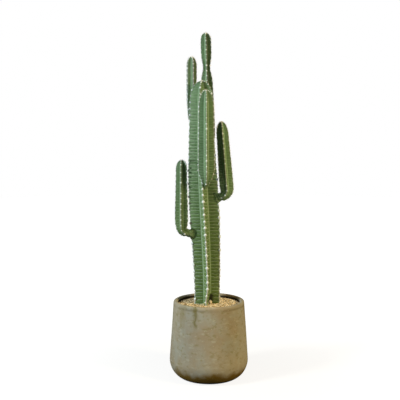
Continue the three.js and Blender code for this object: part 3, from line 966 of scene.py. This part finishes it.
TRUNK_RELIEF = {"Skin Material": skin}
ARM_RELIEF = {"Skin Material": skin, "Notch Depth": 0.0026, "Notch Width": 0.0038,
              "Edge Swell": 0.0018, "Crease Depth": 0.0006, "Unevenness": 0.0012,
              "Crease Shade": 0.55}
trunk = run_tree(trunk, relief, "trunk_skin", TRUNK_RELIEF)
arms = {name: run_tree(piece, relief, name + "_skin", ARM_RELIEF) for name, piece in arms.items()}
print("trunk", face_count(trunk), "arms", [face_count(piece) for piece in arms.values()])

# %% [markdown]
# ## Wool and spines
#
# Each areole is a cushion of white wool with a few short spines. The spots were noted while the
# stems were made, each with the direction that it faces. One tree sets a tuft on every spot and
# roughens it; another fans a handful of thin spines out of it. The small things are joined, so
# that they stay cheap, and each kind is a piece of its own.

# %% Trees for the tufts and the spines
spots = bpy.data.meshes.new("areole_spots")
spots.from_pydata(np.array(areole_spots["place"]).tolist(), [], [])
add_vectors(spots, "outward", areole_spots["outward"])
add_vectors(spots, "upward", areole_spots["upward"])
add_floats(spots, "size", areole_spots["size"])


def turned(tree, first_axis, first, second_axis=None, second=None):
    """A rotation that points one axis along a vector and, if given, another towards a second."""
    kind = "FunctionNodeAlignRotationToVector"
    rotation = add_node(tree, kind, {"Vector": first}, axis=first_axis).outputs[0]
    if second is None:
        return rotation
    return add_node(tree, kind, {"Rotation": rotation, "Vector": second}, axis=second_axis,
                    pivot_axis=first_axis).outputs[0]


def random_value(tree, kind, low, high, seed):
    """Random number or vector per point; the seed is a socket or a number."""
    node = add_node(tree, "FunctionNodeRandomValue", data_type=kind)
    low_socket, high_socket = [s for s in node.inputs if s.name in ("Min", "Max") and s.enabled]
    low_socket.default_value = low
    high_socket.default_value = high
    feed(tree, node.inputs["Seed"], seed)
    return next(s for s in node.outputs if s.enabled)


def roughened(tree, geometry, scale, depth):
    """Moves every point by a noise vector of that depth."""
    place = add_node(tree, "GeometryNodeInputPosition").outputs[0]
    push = noise_at(tree, place, scale).outputs["Color"]
    push = add_node(tree, "ShaderNodeVectorMath", {0: push, 1: (0.5, 0.5, 0.5)},
                    operation="SUBTRACT").outputs[0]
    return moved(tree, geometry, scaled_vector(tree, push, depth))


def instanced(tree, points, shape, rotation, scale):
    node = add_node(tree, "GeometryNodeInstanceOnPoints", {
        "Points": points, "Instance": shape, "Rotation": rotation, "Scale": scale})
    return add_node(tree, "GeometryNodeRealizeInstances", {0: node.outputs[0]}).outputs[0]


def ball(tree, segments, rings):
    return add_node(tree, "GeometryNodeMeshUVSphere",
                    {"Segments": segments, "Rings": rings}).outputs[0]


tufts, given, result = geometry_tree("wool_tufts", {
    "Width": (FLOAT, 1.45), "Height": (FLOAT, 1.60), "Depth": (FLOAT, 1.0),
    "Woolliness": (FLOAT, 0.0042), "Seed": ("NodeSocketInt", 4),
    "Wool Material": ("NodeSocketMaterial", None),
})
size = times(tufts, named_value(tufts, "size"),
             random_value(tufts, "FLOAT", 0.55, 1.35, given["Seed"]))
sizes = vector_of(tufts, *(times(tufts, size, given[k]) for k in ("Width", "Height", "Depth")))
facing = turned(tufts, "Z", named_value(tufts, "outward", "FLOAT_VECTOR"),
                "Y", named_value(tufts, "upward", "FLOAT_VECTOR"))
fluff = instanced(tufts, given["Geometry"], ball(tufts, 8, 5), facing, sizes)
painted(tufts, roughened(tufts, fluff, 420.0, given["Woolliness"]), given["Wool Material"],
        result[0])

spines, given, result = geometry_tree("spine_fans", {
    "Spines Per Areole": ("NodeSocketInt", 7), "Length": (FLOAT, 0.0068),
    "Thickness": (FLOAT, 0.00028), "Spread": (FLOAT, 0.9), "Seed": ("NodeSocketInt", 9),
    "Spine Material": ("NodeSocketMaterial", None),
})
copies = add_node(spines, "GeometryNodeDuplicateElements", {
    "Geometry": given["Geometry"], "Amount": given["Spines Per Areole"]}, domain="POINT")
needle = add_node(spines, "GeometryNodeMeshCone", {
    "Vertices": 3, "Radius Top": 0.0, "Radius Bottom": given["Thickness"],
    "Depth": given["Length"]})
astray = random_value(spines, "FLOAT_VECTOR", (-1, -1, -1), (1, 1, 1), given["Seed"])
aim = add_node(spines, "ShaderNodeVectorMath", {
    0: named_value(spines, "outward", "FLOAT_VECTOR"),
    1: scaled_vector(spines, astray, given["Spread"])}, operation="ADD")
growth = random_value(spines, "FLOAT", 0.6, 1.25, plus(spines, given["Seed"], 1.0))
fans = instanced(spines, copies.outputs[0], needle.outputs[0],
                 turned(spines, "Z", aim.outputs[0]), vector_of(spines, 1.0, 1.0, growth))
painted(spines, fans, given["Spine Material"], result[0])
print("trees", tufts.name, spines.name)

# %% Grow them
wool = run_tree(shown("wool_spots", spots), tufts, "areole_wool", {"Wool Material": wool_material})
thorns = run_tree(shown("spine_spots", spots.copy()), spines, "spines",
                  {"Spine Material": spine_material})
print("wool", face_count(wool), "faces; spines", face_count(thorns), "faces")

# %% [markdown]
# ## The pot, its soil and the gravel
#
# The pot is thrown: a small flat foot, a rounded belly low down and a wall that draws in a
# little towards a thick rounded rim. A fine turned profile with a slight unevenness, and faint
# throwing lines, keeps it from looking machined. The gravel is a low heaped bed with loose
# grains scattered over it by a tree, in four colours.

# %% The pot
POT_HEIGHT = pot_high.z
FOOT_RADIUS = 0.112
BELLY_RADIUS = 0.1765
BELLY_HEIGHT = 0.084
RIM_RADIUS = 0.158
WALL = 0.020
FLOOR_THICKNESS = 0.026
RIM_ROUND = 0.009
BELLY_POWER = 1.2
INNER_CORNER = 0.040
POT_AROUND = 192
POT_WOBBLE = 0.0009
THROWING_DEPTH = 0.00010
THROWING_SPACING = 0.017


def quarter(steps):
    return np.linspace(0, math.pi / 2, steps)


def inner_radius(height):
    return float(np.interp(height, (BELLY_HEIGHT, POT_HEIGHT),
                           (BELLY_RADIUS - WALL - 0.004, RIM_RADIUS - WALL)))


turn = quarter(22) - math.pi / 2
outer = [(FOOT_RADIUS + (BELLY_RADIUS - FOOT_RADIUS) * math.cos(a) ** BELLY_POWER,
          BELLY_HEIGHT + BELLY_HEIGHT * math.sin(a)) for a in turn]
wall_top = POT_HEIGHT - RIM_ROUND
wall_radius = float(np.interp(wall_top, (BELLY_HEIGHT, POT_HEIGHT), (BELLY_RADIUS, RIM_RADIUS)))
wall = list(zip(np.linspace(BELLY_RADIUS, wall_radius, 92)[1:],
                np.linspace(BELLY_HEIGHT, wall_top, 92)[1:]))
rim_out = [(wall_radius - RIM_ROUND * (1 - math.cos(a)), wall_top + RIM_ROUND * math.sin(a))
           for a in quarter(7)[1:]]
rim_in = [(inner_radius(wall_top) + RIM_ROUND * (1 - math.sin(a)),
           wall_top + RIM_ROUND * math.cos(a)) for a in quarter(7)]
corner_height = FLOOR_THICKNESS + INNER_CORNER
inside = [(inner_radius(h), h) for h in np.linspace(wall_top, corner_height, 24)[1:]]
corner_radius = inner_radius(corner_height) - INNER_CORNER
corner = [(corner_radius + INNER_CORNER * math.cos(a), corner_height - INNER_CORNER * math.sin(a))
          for a in quarter(8)[1:]]
profile = np.array(outer + wall + rim_out + rim_in + inside + corner)

around = np.linspace(0, 2 * math.pi, POT_AROUND + 1)[:-1]
pot_rings = np.zeros((len(profile), POT_AROUND, 3))
for i, (radius, height) in enumerate(profile):
    grip = float(ease(height, 0.004, 0.05, 0, 1))
    for j, a in enumerate(around):
        spot = Vector((math.cos(a) * 1.3, math.sin(a) * 1.3, height * 7))
        dent = POT_WOBBLE * noise.noise(spot) - THROWING_DEPTH * (
            0.5 + 0.5 * math.sin(2 * math.pi * height / THROWING_SPACING + 1.3 * math.cos(a)))
        r = radius + grip * (dent - POT_WOBBLE * 0.3)
        pot_rings[i, j] = (r * math.cos(a), r * math.sin(a), height)
pot_mesh = grid_mesh("clay_pot", pot_rings, [[0, 0, 0]], [[0, 0, FLOOR_THICKNESS]])
pot_mesh.materials.append(clay)
pot = shown("clay_pot", pot_mesh)
print("pot", face_count(pot), "faces, CAD box height", round(pot_high.z - pot_low.z, 3))

# %% The gravel bed
gravel_low, gravel_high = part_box("gravel")
BED_EDGE = 0.331
BED_CROWN = gravel_high.z - 0.0025
BED_RINGS = 64
BED_BUMP = 0.0016
CRUMB_X, CRUMB_Y = 0.006, -0.032     # a little heap of grains caught in the trunk's gap
CRUMB_WIDE, CRUMB_DEEP, CRUMB_TALL = 0.008, 0.011, 0.020


def bed_height(x, y, share):
    mound = BED_EDGE + (BED_CROWN - BED_EDGE) * math.sqrt(max(0.0, 1 - share * share))
    rough = noise.noise(Vector((x * 190, y * 190, 0.0)))
    rough += 0.6 * noise.noise(Vector((x * 70, y * 70, 4.0)))
    away = math.hypot((x - CRUMB_X) / CRUMB_WIDE, (y - CRUMB_Y) / CRUMB_DEEP)
    heap = CRUMB_TALL * math.exp(-away ** 2)
    return mound + heap + BED_BUMP * rough * (1 if share < 0.98 else 0.2)


bed_radius = inner_radius(BED_EDGE) - 0.0006
bed_rings = [[(bed_radius * math.cos(a), bed_radius * math.sin(a), gravel_low.z) for a in around]]
for share in np.linspace(1, 0, BED_RINGS)[:-1]:
    reach = bed_radius * share
    edge = [(reach * math.cos(a), reach * math.sin(a)) for a in around]
    bed_rings.append([(x, y, bed_height(x, y, share)) for x, y in edge])
bed_mesh = grid_mesh("gravel_bed", np.array(bed_rings), [[0, 0, gravel_low.z]],
                     [[0, 0, bed_height(0, 0, 0)]])
bed_mesh.materials.append(bed_material)
bed = shown("gravel_bed", bed_mesh)
print("bed", face_count(bed), "faces, radius", round(bed_radius, 3))

# %% Loose grains
grains, given, result = geometry_tree("loose_grains", {
    "Grains Per Square Metre": (FLOAT, 13500.0), "Grain Size": (FLOAT, 0.0027),
    "Sink": (FLOAT, 0.0004), "Unevenness": (FLOAT, 0.0022), "Seed": ("NodeSocketInt", 0),
    "Grain Material": ("NodeSocketMaterial", None),
})
scatter = add_node(grains, "GeometryNodeDistributePointsOnFaces", {
    "Mesh": given["Geometry"], "Density": given["Grains Per Square Metre"],
    "Seed": given["Seed"]}, distribute_method="RANDOM")
lowered = moved(grains, scatter.outputs["Points"],
                vector_of(grains, 0.0, 0.0, times(grains, given["Sink"], -1.0)))
spin = random_value(grains, "FLOAT_VECTOR", (-0.5, -0.5, 0), (0.5, 0.5, 6.283), given["Seed"])
as_rotation = add_node(grains, "FunctionNodeEulerToRotation", {0: spin})
girth = times(grains, given["Grain Size"],
              random_value(grains, "FLOAT", 0.6, 1.45, plus(grains, given["Seed"], 2.0)))
shape = random_value(grains, "FLOAT_VECTOR", (0.75, 0.6, 0.45), (1.2, 1.0, 0.8),
                     plus(grains, given["Seed"], 3.0))
heap = instanced(grains, lowered, ball(grains, 6, 4), as_rotation.outputs[0],
                 scaled_vector(grains, shape, girth))
painted(grains, roughened(grains, heap, 240.0, given["Unevenness"]), given["Grain Material"],
        result[0])

top_faces = [f for f in bed_mesh.polygons if f.normal.z > 0.4]
corners = sorted({v for f in top_faces for v in f.vertices})
renumber = {v: i for i, v in enumerate(corners)}
gravel_pieces = [bed]
for seed, (kind, material) in enumerate(grain_materials.items()):
    ground = bpy.data.meshes.new("ground")
    ground.from_pydata([bed_mesh.vertices[v].co[:] for v in corners], [],
                       [[renumber[v] for v in f.vertices] for f in top_faces])
    piece = run_tree(shown("ground", ground), grains, "grains_" + kind,
                     {"Seed": 20 + 7 * seed, "Grain Material": material})
    gravel_pieces.append(piece)
print("grains", [face_count(piece) for piece in gravel_pieces[1:]], "faces")

# %% [markdown]
# ## Put the parts in place
#
# Every piece rides on the plant's one body, and the CAD nodes that the pieces stand for are
# hidden.
# The soil's CAD node is hidden by the gravel but stays, with a soil material of its own.

# %% Pieces, nodes and slots
for name, piece in arms.items():
    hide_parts(name + "_elbow", name + "_column")
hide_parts("trunk")
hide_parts("pot")
for piece in gravel_pieces:
    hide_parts("gravel")
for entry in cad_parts["soil"].material_slots:
    entry.material = soil_material
for piece in (trunk, pot, wool, thorns, *arms.values(), *gravel_pieces):
    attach(piece, "root")

# %% [markdown]
# ## Share out the light
#
# The stems stand close together and would shade each other. So that each of them shows a cool
# side and a warm one, every stem and the gravel get twins of the lamps, for that piece alone. Two
# narrow spots reach the necks of the left and right arms.

# %% Lamps for single pieces
def group_of(name, pieces):
    group = bpy.data.collections.new(name)
    for piece in pieces:
        group.objects.link(piece)
    return group


def leave_out(group):
    """A light group that names what the light passes by, in place of what it meets."""
    for entry in group.collection_objects:
        entry.light_linking.link_state = "EXCLUDE"
    return group


def share_lamp(lamp, name, lit, unblocked, strength, place=None):
    """A twin of the lamp for those pieces alone; the unblocked ones don't stand in its way."""
    data = lamp.data.copy()
    data.energy *= strength
    twin = put_lamp(lamp.name + "_" + name, data, place or lamp.location, MIDDLE)
    twin.light_linking.receiver_collection = group_of(twin.name + "_lit", lit)
    if unblocked:
        twin.light_linking.blocker_collection = leave_out(group_of(twin.name + "_open", unblocked))
    spared[lamp].update(dict.fromkeys(lit))
    return twin


def snoot(name, place, aim, width, power, colour, lit):
    """A narrow spot of light for one piece."""
    data = bpy.data.lights.new(name, "SPOT")
    data.energy = power
    data.color = colour
    data.spot_size = 2 * math.atan(width / 2 / LIGHT_DISTANCE)
    data.spot_blend = 0.8
    data.shadow_soft_size = 0.1
    lamp = put_lamp(name, data, place, aim)
    lamp.light_linking.receiver_collection = group_of(name + "_lit", [lit])


print("ready to share", cool.name, warm.name, top.name)

# %% Who gets which light
spared = {cool: {}, warm: {}, top: {}}
left_arm, right_arm, front_arm = arms["arm_left"], arms["arm_right"], arms["arm_front"]
thin_arm, tall_arm = arms["arm_back_left"], arms["arm_back_tall"]
share_lamp(cool, "trunk", [trunk], (left_arm, thin_arm), 1.08, lamp_place(-58, 8))
share_lamp(cool, "shaded", [right_arm], (), 0.05)
share_lamp(cool, "left", [left_arm], (), 0.88)
share_lamp(cool, "thin", [thin_arm], (trunk, front_arm), 0.78)
share_lamp(cool, "tall", [tall_arm], (trunk, front_arm, thin_arm), 0.98)
share_lamp(cool, "gravel", gravel_pieces, (trunk,), 0.44)
share_lamp(warm, "trunk", [trunk], (right_arm,), 1.0, lamp_place(56, 8))
share_lamp(warm, "right", [right_arm], (), 1.1)
share_lamp(warm, "left", [left_arm], (), 0.6)
share_lamp(warm, "back", [thin_arm, tall_arm], (), 0.31)
share_lamp(top, "gravel", gravel_pieces, (trunk,), 8).data.color = (1.0, 0.93, 0.78)
snoot("neck_right", lamp_place(18, 4), (0.052, -0.040, 0.812), 0.095, 480, (1, 0.92, 0.55),
      right_arm)
snoot("neck_left", lamp_place(-14, 30), (-0.094, -0.040, 0.668), 0.090, 330, (0.85, 1, 0.85),
      left_arm)
for lamp, pieces in spared.items():
    lamp.light_linking.receiver_collection = leave_out(group_of(lamp.name + "_spared", pieces))

# %% Compare sizes
def box_of(piece):
    points = np.empty(len(piece.data.vertices) * 3)
    piece.data.vertices.foreach_get("co", points)
    points = points.reshape(-1, 3)
    return points.min(0), points.max(0)


for name, piece in {"trunk": trunk, "pot": pot, **arms}.items():
    nodes = (name,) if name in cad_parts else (name + "_elbow", name + "_column")
    lows, highs = zip(*(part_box(node) for node in nodes))
    low, high = box_of(piece)
    print(name, "sticks out by mm",
          [round(1000 * (min(c) - a), 1) for c, a in zip(zip(*lows), low)],
          [round(1000 * (b - max(c)), 1) for c, b in zip(zip(*highs), high)])
